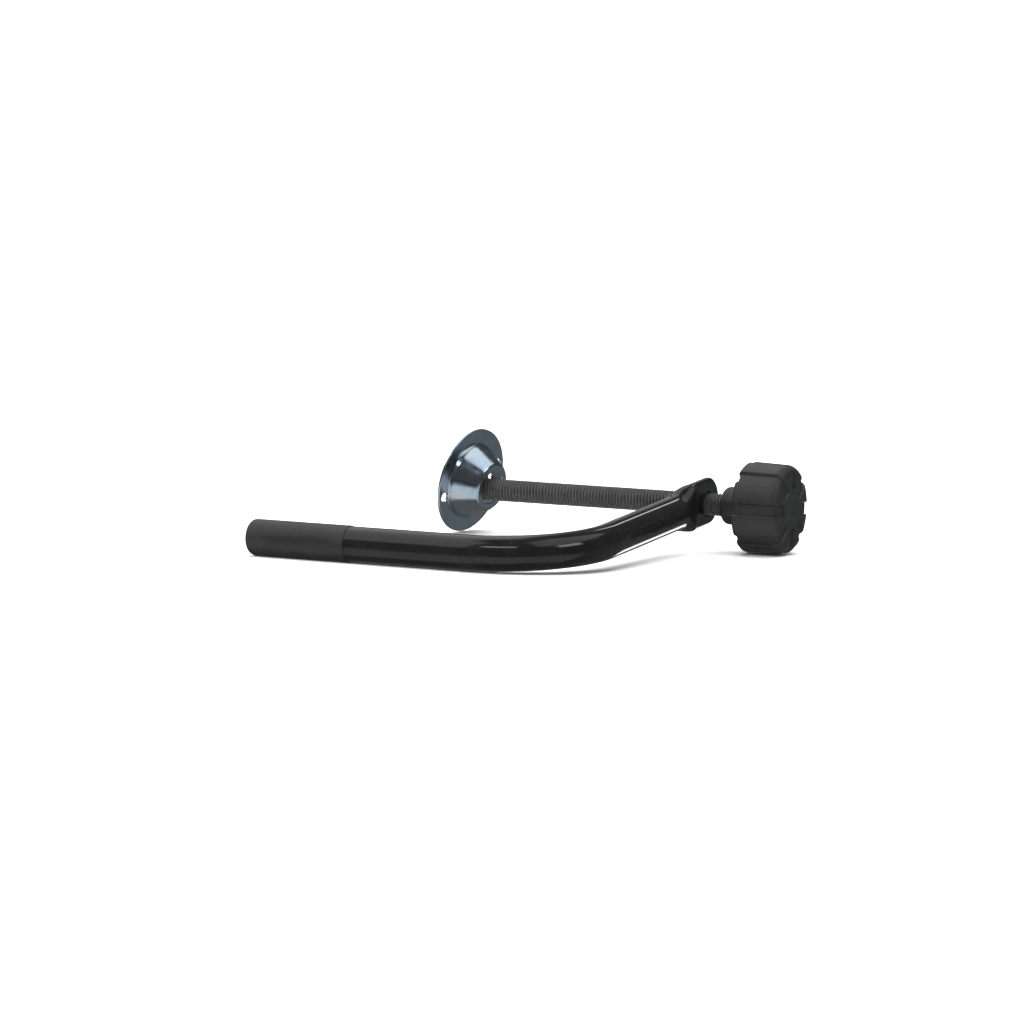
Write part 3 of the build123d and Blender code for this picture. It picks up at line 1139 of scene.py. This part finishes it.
@dataclass
class HandKnob:
    """The fluted knob with its round hub, moulded in one piece.

    The hub's end has fine rings turned into it. Axial places start at that end.
    """

    bore_r: float = 6.45
    hub_r: float = 10.6
    hub_length: float = 13.0
    hub_rounding: float = 3.2
    hub_fillet: float = 2.0
    head_length: float = 27.6
    back_r: float = 25.5
    back_rounding: float = 3.2
    front_r: float = 24.6
    front_rounding: float = 5.6
    gate_r: float = 2.6
    gate_depth: float = 0.15
    flute_count: int = 8
    flute_width: float = 7.0
    flute_depth: float = 1.3
    flute_inner_r: float = 9.0
    flute_start: float = 2.0
    flute_fade: tuple[float, float] = (1.0, 3.0)  # how far outside the hub the flutes fade in
    fade_depth: float = 4.0  # how far from the hub's fillet the fade reaches
    wall: float = 0.3
    lobe_cuts: int = 9
    ring_start: float = 0.7
    ring_pitch: float = 1.15
    ring_depth: float = 0.16
    ring_count: int = 4
    ring_end: float = 7.0

    def flute_cuts(self) -> list[tuple[float, float, float]]:
        """Give the cuts across one flute and the lobe after it.

        Returns:
            For each cut its distance from the flute's middle, its share of the way across
            the lobe, and how much of the flute's depth it has.
        """
        edge, wall = self.flute_width / 2.0, self.wall
        half = [(0.0, 1.0), (edge * 0.5, 1.0), (edge - wall, 1.0), (edge - wall * 0.5, 0.86)]
        half += [(edge, 0.22), (edge + wall * 0.5, 0.04), (edge + wall, 0.0)]
        cuts = [(-place, 0.0, depth) for place, depth in reversed(half[1:])]
        cuts += [(place, 0.0, depth) for place, depth in half]
        end = edge + wall
        cuts += [(end, step / self.lobe_cuts, 0.0) for step in range(1, self.lobe_cuts)]
        return cuts

    def outline(self) -> list[tuple[float, float]]:
        """Give the turned outline from the hub's bore to the middle of the front face."""
        front = self.hub_length + self.head_length
        corners = [
            Corner(0.0, self.bore_r),
            Corner(0.0, self.hub_r, self.hub_rounding),
            Corner(self.hub_length, self.hub_r, self.hub_fillet),
            Corner(self.hub_length, self.back_r, self.back_rounding),
            Corner(front, self.front_r, self.front_rounding),
            Corner(front, self.flute_inner_r + self.wall),
            Corner(front, self.flute_inner_r),
            Corner(front, self.gate_r),
            Corner(front - self.gate_depth, self.gate_r - 0.2),
            Corner(front - self.gate_depth, 0.0),
        ]
        line = rounded_outline(corners, closed=False, steps=12)
        hub = [place for place in line if place[0] <= self.ring_end and self.on_hub(place[1])]
        hub.append((self.ring_end, self.hub_r))
        return refine(hub, 0.18) + refine(line[len(hub) - 1 :], 1.4)

    def on_hub(self, radial: float) -> bool:
        """Say whether a radius is within the hub's."""
        return radial <= self.hub_r + 0.01

    def hub_ring(self, axial: float, radial: float) -> float:
        """Give the depth of the hub's fine rings at a point.

        Args:
            axial: Its place along the axis.
            radial: Its distance out from the axis.

        Returns:
            The depth.
        """
        place = (axial - self.ring_start) / self.ring_pitch
        if not self.on_hub(radial) or not 0.0 < place < self.ring_count:
            return 0.0
        return self.ring_depth * (0.5 - 0.5 * math.cos(2.0 * math.pi * place)) ** 3

    def flute_share(self, axial: float, radial: float) -> tuple[float, float]:
        """Say how far the flutes are cut in at a point of the outline.

        Args:
            axial: Its place along the axis.
            radial: Its distance out from the axis.

        Returns:
            The share beside the flutes' inner ends, and the share beside the hub's fillet.
        """
        start, end = self.flute_fade
        if axial <= self.hub_length - 0.01 or radial <= self.hub_r + start:
            return 0.0, 1.0
        by_hub = axial < self.hub_length + self.fade_depth
        fade = ease((radial - self.hub_r - start) / (end - start)) if by_hub else 1.0
        return ease((radial - self.flute_inner_r) / self.wall), fade

    def build(self) -> bpy.types.Object:
        """Make the knob in its node's place; its cuts follow the flutes' straight walls."""
        foot = node_box("knob_body")[1].x - self.hub_length - self.head_length
        axes = screw_axes(foot, Vector((0, -1, 0)))
        line = self.outline()
        normals = outline_normals(line)
        half_pitch = math.pi / self.flute_count
        shell = Shell()
        rings = []
        for flute in range(self.flute_count):
            start = flute * 2.0 * half_pitch - math.radians(self.flute_start)
            for offset, lobe_share, depth in self.flute_cuts():
                points, shares = [], []
                for (axial, radial), normal in zip(line, normals):
                    edge = math.asin(offset / max(radial, self.flute_inner_r + 0.9))
                    angle = between(edge, 2.0 * half_pitch - edge, lobe_share)
                    inner, fade = self.flute_share(axial, radial)
                    sunk = self.flute_depth * depth * inner + self.hub_ring(axial, radial)
                    place = Vector((axial, radial)) - normal * (sunk * fade)
                    points.append(axes.point(place.x, place.y, start + angle))
                    shares.append((1.0 - abs(depth * 2.0 - 1.0)) * inner)
                rings.append(shell.ring(points, shares))
        shell.loft([*rings, rings[0]], closed=False)
        knob = shell.finish("hand_knob", 40.0)
        KNOB_PLASTIC.dress(knob)
        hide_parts("knob_body")
        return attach(knob, Body.SCREW.value)


# --------------------------------------------------------------------------- the cup


@dataclass
class SwivelCup:
    """The pressed cup: flat ring, bead, groove, coned wall, rounded shoulder and nose."""

    rim_r: float = 30.15
    sheet: float = 1.4
    height: float = 16.4
    bead_r: float = 22.6
    groove_r: float = 21.5
    base_r: float = 20.8
    base_height: float = 3.4
    nose_r: float = 13.6
    shoulder: float = 2.2
    hole_r: float = 8.8
    screw_hole_r: float = 2.6
    screw_hole_flare: float = 0.35
    screw_pcd_r: float = 24.9
    screw_angle: float = 20.0
    lean_down: float = 11.5
    lean_side: float = 9.5

    def place(self, joints: Sequence[dict]) -> Axes:
        """Work out the cup's own axis from its joint.

        Args:
            joints: The frame's joints.

        Returns:
            The axis, which starts on the rim's back plane.
        """
        joint = next(one for one in joints if one["name"] == "cup_tilt")
        pivot = Vector(joint["pos_m"]) / MM
        down, side = math.radians(self.lean_down), math.radians(self.lean_side)
        nose = Vector(
            (
                math.cos(side) * math.cos(down),
                -math.sin(side) * math.cos(down),
                -math.sin(down),
            )
        )
        level = nose.cross(Vector((0.0, 0.0, 1.0))).normalized()
        return Axes(pivot - nose * (self.height - self.sheet / 2.0), nose, level)

    def outline(self) -> list[tuple[float, float]]:
        """Give the sheet's closed outline."""
        sheet, top = self.sheet, self.height
        corners = [
            Corner(top, self.hole_r + 0.9, 0.8),
            Corner(top, self.nose_r, self.shoulder),
            Corner(self.base_height, self.base_r, 0.9),
            Corner(sheet - 0.55, self.groove_r, 0.5),
            Corner(sheet - 0.1, self.bead_r - 0.5, 0.5),
            Corner(sheet, self.bead_r + 0.6, 0.6),
            Corner(sheet, self.rim_r, 0.5),
            Corner(0.0, self.rim_r, 0.5),
            Corner(0.0, self.groove_r - sheet * 0.7, 0.8),
            Corner(self.base_height - sheet / 2.0, self.base_r - sheet, 0.8),
            Corner(top - sheet, self.nose_r - sheet, self.shoulder - sheet),
            Corner(top - sheet, self.hole_r + 0.4, 0.3),
            Corner(top - sheet * 0.9, self.hole_r, 0.2),
            Corner(top - 0.7, self.hole_r, 0.3),
        ]
        outline = rounded_outline(corners, closed=True, steps=7)
        return refine([*outline, outline[0]], 1.2)[:-1]

    def wear(self, radial: float, angle: float) -> float:
        """Say how much paler a point is painted: the rim and the hole's lip, all round, as rubbed metal
        and a painted highlight.
        """
        rim = ease((radial - self.rim_r + 0.5) / 0.4)
        lip = ease((self.hole_r + 0.9 - radial) / 0.5)
        return max(rim, lip)

    def build(self, joints: Sequence[dict]) -> bpy.types.Object:
        """Make the cup and pierce its two screw holes.

        Args:
            joints: The frame's joints.

        Returns:
            The cup's object.
        """
        axes = self.place(joints)
        shell = turned(axes, self.outline(), even_angles(160), wear=self.wear)
        cup = shell.finish("swivel_cup", 40.0)
        for half_turn in (0.0, math.pi):
            angle = half_turn + math.radians(self.screw_angle)
            foot = axes.point(0.0, self.screw_pcd_r, angle)
            drill = Axes(foot, axes.along, axes.zero)
            pierce(cup, drill, self.sheet, self.screw_hole_r, self.screw_hole_flare, 40)
        smooth(cup, 38.0)
        ZINC.dress(cup)
        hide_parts("flange_cup")
        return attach(cup, Body.CUP.value)


@dataclass
class SmallHardware:
    """The washers and pins that keep their frame meshes, with eased edges and a finish."""

    edge: float = 0.22
    crease: float = 40.0

    def build(self, nodes: dict[str, bpy.types.Object]) -> list[bpy.types.Object]:
        """Ease the edges of each small part and dress it.

        Args:
            nodes: The frame's nodes by name.

        Returns:
            The dressed nodes.
        """
        finishes = {
            "thrust_washer": ZINC,
            "swivel_washer": ZINC,
            "nut_lock_pin": STEEL,
            "knob_lock_pin": STEEL,
            "knob_insert": STEEL,
        }
        dressed = []
        for name, finish in finishes.items():
            node = nodes[name]
            bevel = node.modifiers.new("eased_edge", "BEVEL")
            bevel.width = self.edge * MM
            bevel.segments = 2
            bevel.limit_method = "ANGLE"
            bevel.angle_limit = math.radians(self.crease)
            smooth(node, self.crease)
            finish.dress(node)
            dressed.append(node)
        return dressed


# --------------------------------------------------------------------------- the studio


@dataclass(frozen=True)
class SkyPanel:
    """A soft panel of light in the room, seen in reflections.

    Attributes:
        azimuth: Middle of the panel, in degrees; 0 is the front and 90 the right.
        half_width: Half its width in degrees.
        low: Elevation of its lower edge.
        high: Elevation of its upper edge.
        softness: Width of its soft edge in degrees.
        strength: How bright it is.
        colour: Its colour.
    """

    azimuth: float
    half_width: float
    low: float
    high: float
    softness: float
    strength: float
    colour: Colour = (1.0, 1.0, 1.0)


PANELS = (
    SkyPanel(0.0, 190.0, -99.0, -3.0, 3.0, 0.14),
    SkyPanel(-150.0, 20.0, -10.0, 24.0, 6.0, 0.4),
    SkyPanel(-92.0, 70.0, 26.0, 76.0, 9.0, 1.3),
    SkyPanel(-172.0, 2.2, 22.0, 42.0, 1.2, 4.0),
    SkyPanel(-179.0, 5.5, -27.0, -15.0, 1.5, 4.5),
    SkyPanel(103.0, 56.0, 40.0, 82.0, 7.0, 1.3, (0.88, 0.95, 1.0)),
    SkyPanel(20.0, 85.0, -62.0, -14.0, 8.0, 0.75),
    SkyPanel(16.0, 26.0, -64.0, -16.0, 5.0, 0.9, (0.88, 0.95, 1.0)),
    SkyPanel(136.0, 36.0, -42.0, 4.0, 10.0, 0.18, (0.86, 0.95, 1.0)),
    SkyPanel(8.0, 21.0, 41.0, 53.0, 3.0, 4.5),
    SkyPanel(85.0, 15.0, 28.0, 43.0, 3.0, 5.0),
)


@dataclass
class Studio:
    """The pale floor, the room's light and the camera."""

    floor_r: float = 1700.0
    room: float = 0.075
    left_glow: float = 1.0
    right_glow: float = 0.12
    lens: float = 186.17
    sensor: float = 36.0
    heading: float = 25.45
    elevation: float = 5.79
    roll: float = 1.22
    distance: float = 3000.0
    target: Vector = field(default_factory=lambda: Vector((-50.09, 77.44, 13.37)))

    def camera(self) -> None:
        """Stand the camera in its place and make it the scene's."""
        heading, height = math.radians(self.heading), math.radians(self.elevation)
        back = Vector(
            (
                math.sin(heading) * math.cos(height),
                -math.cos(heading) * math.cos(height),
                math.sin(height),
            )
        )
        right = (-back).cross(Vector((0.0, 0.0, 1.0))).normalized()
        up = right.cross(-back)
        roll = math.radians(self.roll)
        right_rolled = right * math.cos(roll) + up * math.sin(roll)
        up_rolled = up * math.cos(roll) - right * math.sin(roll)
        turn = Matrix((right_rolled, up_rolled, back)).transposed().to_4x4()
        lens = bpy.data.cameras.new("camera")
        lens.lens, lens.sensor_width = self.lens, self.sensor
        lens.clip_start, lens.clip_end = 0.05, 100.0
        camera = bpy.data.objects.new("camera", lens)
        camera.matrix_world = Matrix.Translation((self.target + back * self.distance) * MM) @ turn
        bpy.context.scene.collection.objects.link(camera)
        bpy.context.scene.camera = camera

    def floor(self) -> None:
        """Lay a plain pale floor that mirrors in nothing."""
        mesh = bpy.data.meshes.new("floor")
        edge = self.floor_r * MM
        mesh.from_pydata(
            [(-edge, -edge, 0.0), (edge, -edge, 0.0), (edge, edge, 0.0), (-edge, edge, 0.0)],
            [],
            [(0, 1, 2, 3)],
        )
        material = bpy.data.materials.new("pale_floor")
        material.use_nodes = True
        sketch = NodeSketch(material.node_tree)
        shader = sketch.add("ShaderNodeBsdfDiffuse")
        shade = sketch.blend(sketch.noise(900.0, 2.0), (0.93, 0.93, 0.93), (0.95, 0.95, 0.95))
        sketch.feed(shader.inputs["Color"], shade)
        output = sketch.add("ShaderNodeOutputMaterial")
        sketch.feed(output.inputs["Surface"], shader.outputs["BSDF"])
        mesh.materials.append(material)
        floor = bpy.data.objects.new("floor", mesh)
        floor.visible_glossy = False
        bpy.context.scene.collection.objects.link(floor)

    def sky(self) -> None:
        """Light the room with soft panels; the eye sees plain white beyond the floor."""
        world = bpy.data.worlds.new("room")
        world.use_nodes = True
        bpy.context.scene.world = world
        sketch = NodeSketch(world.node_tree)
        source = sketch.add("ShaderNodeTexCoord")
        split = sketch.add("ShaderNodeSeparateXYZ")
        sketch.feed(split.inputs["Vector"], source.outputs["Generated"])
        front = sketch.math("MULTIPLY", split.outputs["Y"], -1.0)
        azimuth = sketch.math("ARCTAN2", split.outputs["X"], front)
        azimuth = sketch.math("DEGREES", azimuth)
        elevation = sketch.math("DEGREES", sketch.math("ARCSINE", split.outputs["Z"]))
        total: object = (self.room, self.room, self.room)
        for panel in PANELS:
            apart = sketch.math("SUBTRACT", azimuth, panel.azimuth)
            apart = sketch.math("ABSOLUTE", sketch.math("WRAP", apart, 180.0, -180.0))
            edge = panel.half_width
            inside = sketch.span(apart, edge - panel.softness, edge, 1.0, 0.0)
            over = sketch.span(elevation, panel.low, panel.low + panel.softness)
            under = sketch.span(elevation, panel.high - panel.softness, panel.high, 1.0, 0.0)
            share = sketch.math("MULTIPLY", inside, sketch.math("MULTIPLY", over, under))
            lit = tuple(channel * panel.strength for channel in panel.colour)
            total = sketch.blend(share, total, lit)
        panels = sketch.add("ShaderNodeBackground")
        sketch.feed(panels.inputs["Color"], total)
        white = sketch.add("ShaderNodeBackground")
        white.inputs["Color"].default_value = (1.0, 1.0, 1.0, 1.0)
        soft = sketch.add("ShaderNodeBackground")
        glow = sketch.span(split.outputs["X"], -1.0, 1.0, self.left_glow, self.right_glow)
        sketch.feed(soft.inputs["Strength"], glow)
        path = sketch.add("ShaderNodeLightPath")
        lit_side = sketch.add("ShaderNodeMixShader")
        sketch.feed(lit_side.inputs[0], path.outputs["Is Diffuse Ray"])
        sketch.feed(lit_side.inputs[1], panels.outputs["Background"])
        sketch.feed(lit_side.inputs[2], soft.outputs["Background"])
        mixed = sketch.add("ShaderNodeMixShader")
        sketch.feed(mixed.inputs[0], path.outputs["Is Camera Ray"])
        sketch.feed(mixed.inputs[1], lit_side.outputs["Shader"])
        sketch.feed(mixed.inputs[2], white.outputs["Background"])
        output = sketch.add("ShaderNodeOutputWorld")
        sketch.feed(output.inputs["Surface"], mixed.outputs["Shader"])

    def lamp(self, name: str, place: Vector, size: float, watts: float) -> None:
        """Hang a soft lamp that looks at the object and that reflections don't show.

        Args:
            name: Name of the lamp.
            place: Its place in millimetres.
            size: Side of its square in millimetres.
            watts: Its power.
        """
        light = bpy.data.lights.new(name, "AREA")
        light.size, light.energy = size * MM, watts
        lamp = bpy.data.objects.new(name, light)
        lamp.location = place * MM
        aim = (self.target - place).to_track_quat("-Z", "Y")
        lamp.rotation_mode = "QUATERNION"
        lamp.rotation_quaternion = aim
        lamp.visible_glossy = False
        bpy.context.scene.collection.objects.link(lamp)

    def build(self) -> None:
        """Set the camera, the floor and the lights, and show colours plainly."""
        self.camera()
        self.floor()
        self.sky()
        self.lamp("top_light", Vector((-100.0, 500.0, 2300.0)), 2600.0, 90.0)
        self.lamp("back_light", Vector((0.0, 2300.0, 1700.0)), 1800.0, 45.0)
        self.lamp("left_light", Vector((-1700.0, -1500.0, 1500.0)), 1300.0, 55.0)
        bpy.context.scene.view_settings.view_transform = "Standard"


# --------------------------------------------------------------------------- everything


def main() -> None:
    """Build the studio and the object, piece by piece."""
    logging.basicConfig(level=logging.INFO, format="%(message)s")
    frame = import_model()
    Studio().build()
    bar = BentBar()
    bar.place()
    pieces = [
        bar.build(),
        EndSleeve().build(),
        HexNut("plate_nut", "eye_nut", Body.BAR, GLOSS_BLACK).build(),
        ClampScrew().build(),
        HandKnob().build(),
        HexNut("retaining_nut_hex", "retaining_nut", Body.SCREW, ZINC).build(),
        SwivelCup().build(frame["joints"]),
        *SmallHardware().build(frame["nodes"]),
    ]
    for piece in pieces:
        LOG.info("%s: %d faces", piece.name, len(piece.data.polygons))


if __name__ == "__main__":
    main()
